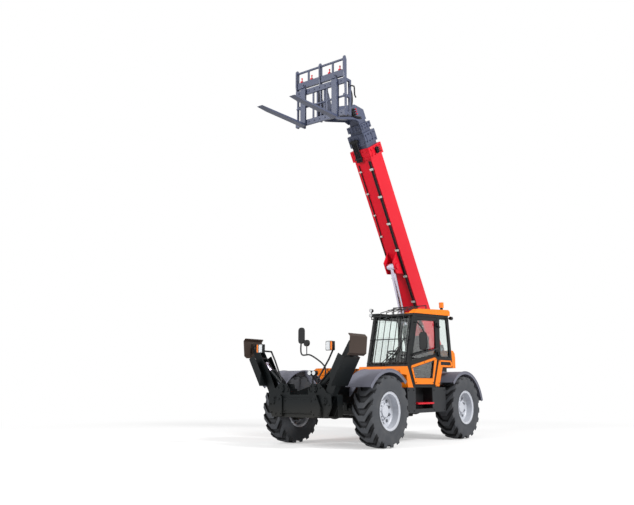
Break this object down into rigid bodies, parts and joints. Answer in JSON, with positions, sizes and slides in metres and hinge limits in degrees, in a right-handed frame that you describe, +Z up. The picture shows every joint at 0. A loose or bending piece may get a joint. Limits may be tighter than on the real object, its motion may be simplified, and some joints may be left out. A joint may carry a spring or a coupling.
{
  "type": "telehandler",
  "caption": "Telescopic handler with a side cab, raised multi-stage boom, pallet forks, front stabilisers and all-wheel steering on lugged tyres.",
  "frame": {"origin": "on the ground under the middle of the machine's box, as it stands with the boom raised", "axes": "+X forward along the forks, +Y to the operator's left, +Z up"},
  "size_m": [5.6792, 2.96, 7.2944],
  "materials": {
    "red_paint": "gloss paint",
    "orange_paint": "gloss paint",
    "charcoal_paint": "satin paint",
    "blue_grey_paint": "satin paint",
    "grey_plastic": "moulded",
    "black_plastic": "moulded",
    "hose_rubber": "smooth",
    "silver_paint": "silver enamel",
    "tyre_rubber": "moulded",
    "chrome_rod": "ground and plated",
    "engine_iron": "cast",
    "cab_glass": "tinted",
    "clear_lens": "moulded clear",
    "amber_lens": "moulded"
  },
  "bodies": {
    "chassis": {"main_frame": "charcoal_paint", "boom_towers": "charcoal_paint", "boom_pins": "charcoal_paint", "front_frame": "charcoal_paint", "front_axle": "charcoal_paint", "rear_axle": "charcoal_paint", "engine_block": "engine_iron", "engine_cover": "orange_paint", "step_box": "grey_plastic", "step_tread": "red_paint", "cab_shell": "charcoal_paint", "cab_roof": "orange_paint", "cab_panes": "cab_glass", "guard_bars": "black_plastic", "operator_chair": "black_plastic", "steering_column": "black_plastic", "console": "grey_plastic", "front_cowl": "orange_paint", "rear_cover": "orange_paint", "side_panel": "orange_paint", "fenders": "grey_plastic", "lamp_housings": "black_plastic", "lamp_lenses": "clear_lens", "amber_lenses": "amber_lens", "mirrors": "black_plastic"},
    "engine_hatch": {"engine_lid": "orange_paint"},
    "cab_door": {"door_frame": "charcoal_paint", "door_panel": "orange_paint", "door_pane": "cab_glass"},
    "boom": {"boom_outer": "red_paint", "boom_pipes": "hose_rubber"},
    "stage_2": {"boom_stage_2": "blue_grey_paint"},
    "stage_3": {"boom_stage_3": "blue_grey_paint"},
    "stage_4": {"boom_stage_4": "blue_grey_paint"},
    "fork_carriage": {"carriage": "blue_grey_paint", "forks": "blue_grey_paint"},
    "lift_cylinder": {"lift_barrel": "charcoal_paint"},
    "lift_piston": {"lift_rod": "chrome_rod"},
    "stabiliser_left": {"stab_arm_left": "charcoal_paint"},
    "stabiliser_foot_left": {"stab_foot_left": "charcoal_paint"},
    "stabiliser_cylinder_left": {"stab_barrel_left": "charcoal_paint"},
    "stabiliser_piston_left": {"stab_rod_left": "chrome_rod"},
    "stabiliser_right": {"stab_arm_right": "charcoal_paint"},
    "stabiliser_foot_right": {"stab_foot_right": "charcoal_paint"},
    "stabiliser_cylinder_right": {"stab_barrel_right": "charcoal_paint"},
    "stabiliser_piston_right": {"stab_rod_right": "chrome_rod"},
    "knuckle_front_left": {"knuckle_fl": "charcoal_paint"},
    "wheel_front_left": {"rim_fl": "silver_paint", "tyre_fl": "tyre_rubber"},
    "knuckle_front_right": {"knuckle_fr": "charcoal_paint"},
    "wheel_front_right": {"rim_fr": "silver_paint", "tyre_fr": "tyre_rubber"},
    "knuckle_rear_left": {"knuckle_rl": "charcoal_paint"},
    "wheel_rear_left": {"rim_rl": "silver_paint", "tyre_rl": "tyre_rubber"},
    "knuckle_rear_right": {"knuckle_rr": "charcoal_paint"},
    "wheel_rear_right": {"rim_rr": "silver_paint", "tyre_rr": "tyre_rubber"}
  },
  "joints": [
    {"name": "boom_lift", "type": "hinge", "parent": "chassis", "child": "boom", "pos_m": [-2.53, -0.15, 1.82], "axis": [0, -1, 0], "range_deg": [-63, 11]},
    {"name": "stage_2_slide", "type": "slide", "parent": "boom", "child": "stage_2", "axis": [0.515, 0, 0.8572], "range_m": [-0.04, 3.6]},
    {"name": "stage_3_slide", "type": "slide", "parent": "stage_2", "child": "stage_3", "axis": [0.515, 0, 0.8572], "range_m": [-0.04, 3.6]},
    {"name": "stage_4_slide", "type": "slide", "parent": "stage_3", "child": "stage_4", "axis": [0.515, 0, 0.8572], "range_m": [-0.04, 3.6]},
    {"name": "carriage_tilt", "type": "hinge", "parent": "stage_4", "child": "fork_carriage", "pos_m": [1.19917, -0.15, 6.32943], "axis": [0, 1, 0], "range_deg": [-75, 50]},
    {"name": "lift_cylinder_swing", "type": "hinge", "parent": "chassis", "child": "lift_cylinder", "pos_m": [-1.95, -0.15, 1.05], "axis": [0, -1, 0], "range_deg": [-60.17, 10.92]},
    {"name": "lift_piston_slide", "type": "slide", "parent": "lift_cylinder", "child": "lift_piston", "axis": [0.3562, 0, 0.9344], "range_m": [-1.003, 0.183]},
    {"name": "door_swing", "type": "hinge", "parent": "chassis", "child": "cab_door", "pos_m": [-0.616, 1.122, 1.7], "axis": [0, 0, 1], "range_deg": [0, 95]},
    {"name": "engine_lid_lift", "type": "hinge", "parent": "chassis", "child": "engine_hatch", "pos_m": [-0.13, -0.43, 1.38], "axis": [-1, 0, 0], "range_deg": [0, 65]},
    {"name": "stabiliser_left_lower", "type": "hinge", "parent": "chassis", "child": "stabiliser_left", "pos_m": [2.222, 0.55, 0.8], "axis": [-1, 0, 0], "range_deg": [0, 98]},
    {"name": "stabiliser_left_foot", "type": "hinge", "parent": "stabiliser_left", "child": "stabiliser_foot_left", "pos_m": [2.222, 1.06196, 1.7236], "axis": [1, 0, 0], "range_deg": [-15, 13]},
    {"name": "stabiliser_left_swing", "type": "hinge", "parent": "chassis", "child": "stabiliser_cylinder_left", "pos_m": [2.222, 0.36, 1], "axis": [-1, 0, 0], "range_deg": [-1, 81.32]},
    {"name": "stabiliser_left_piston", "type": "slide", "parent": "stabiliser_cylinder_left", "child": "stabiliser_piston_left", "axis": [0, 0.7486, 0.6631], "range_m": [-0.005, 0.364]},
    {"name": "stabiliser_right_lower", "type": "hinge", "parent": "chassis", "child": "stabiliser_right", "pos_m": [2.222, -0.55, 0.8], "axis": [1, 0, 0], "range_deg": [0, 98]},
    {"name": "stabiliser_right_foot", "type": "hinge", "parent": "stabiliser_right", "child": "stabiliser_foot_right", "pos_m": [2.222, -1.06196, 1.7236], "axis": [-1, 0, 0], "range_deg": [-15, 13]},
    {"name": "stabiliser_right_swing", "type": "hinge", "parent": "chassis", "child": "stabiliser_cylinder_right", "pos_m": [2.222, -0.36, 1], "axis": [1, 0, 0], "range_deg": [-1, 81.32]},
    {"name": "stabiliser_right_piston", "type": "slide", "parent": "stabiliser_cylinder_right", "child": "stabiliser_piston_right", "axis": [0, -0.7486, 0.6631], "range_m": [-0.005, 0.364]},
    {"name": "steer_front_left", "type": "hinge", "parent": "chassis", "child": "knuckle_front_left", "pos_m": [1.3, 0.9, 0.62], "axis": [0, 0, 1], "range_deg": [-35, 35]},
    {"name": "spin_front_left", "type": "hinge", "parent": "knuckle_front_left", "child": "wheel_front_left", "pos_m": [1.3, 1, 0.62], "axis": [0, 1, 0], "continuous": true},
    {"name": "steer_front_right", "type": "hinge", "parent": "chassis", "child": "knuckle_front_right", "pos_m": [1.3, -0.9, 0.62], "axis": [0, 0, 1], "range_deg": [-35, 35]},
    {"name": "spin_front_right", "type": "hinge", "parent": "knuckle_front_right", "child": "wheel_front_right", "pos_m": [1.3, -1, 0.62], "axis": [0, 1, 0], "continuous": true},
    {"name": "steer_rear_left", "type": "hinge", "parent": "chassis", "child": "knuckle_rear_left", "pos_m": [-1.56, 0.9, 0.62], "axis": [0, 0, 1], "range_deg": [-35, 35]},
    {"name": "spin_rear_left", "type": "hinge", "parent": "knuckle_rear_left", "child": "wheel_rear_left", "pos_m": [-1.56, 1, 0.62], "axis": [0, 1, 0], "continuous": true},
    {"name": "steer_rear_right", "type": "hinge", "parent": "chassis", "child": "knuckle_rear_right", "pos_m": [-1.56, -0.9, 0.62], "axis": [0, 0, 1], "range_deg": [-35, 35]},
    {"name": "spin_rear_right", "type": "hinge", "parent": "knuckle_rear_right", "child": "wheel_rear_right", "pos_m": [-1.56, -1, 0.62], "axis": [0, 1, 0], "continuous": true}
  ],
  "couplings": [
    {"joint": "stage_3_slide", "follows": "stage_2_slide", "ratio": 1},
    {"joint": "stage_4_slide", "follows": "stage_2_slide", "ratio": 1},
    {"joint": "lift_cylinder_swing", "follows": "boom_lift", "ratio": 0.9472},
    {"joint": "lift_piston_slide", "follows": "boom_lift", "m_per_rad": 0.9035},
    {"joint": "stabiliser_left_swing", "follows": "stabiliser_left_lower", "ratio": 0.8196},
    {"joint": "stabiliser_left_piston", "follows": "stabiliser_left_lower", "m_per_rad": 0.2068},
    {"joint": "stabiliser_right_swing", "follows": "stabiliser_right_lower", "ratio": 0.8196},
    {"joint": "stabiliser_right_piston", "follows": "stabiliser_right_lower", "m_per_rad": 0.2068},
    {"joint": "steer_front_right", "follows": "steer_front_left", "ratio": 1},
    {"joint": "steer_rear_right", "follows": "steer_rear_left", "ratio": 1}
  ]
}
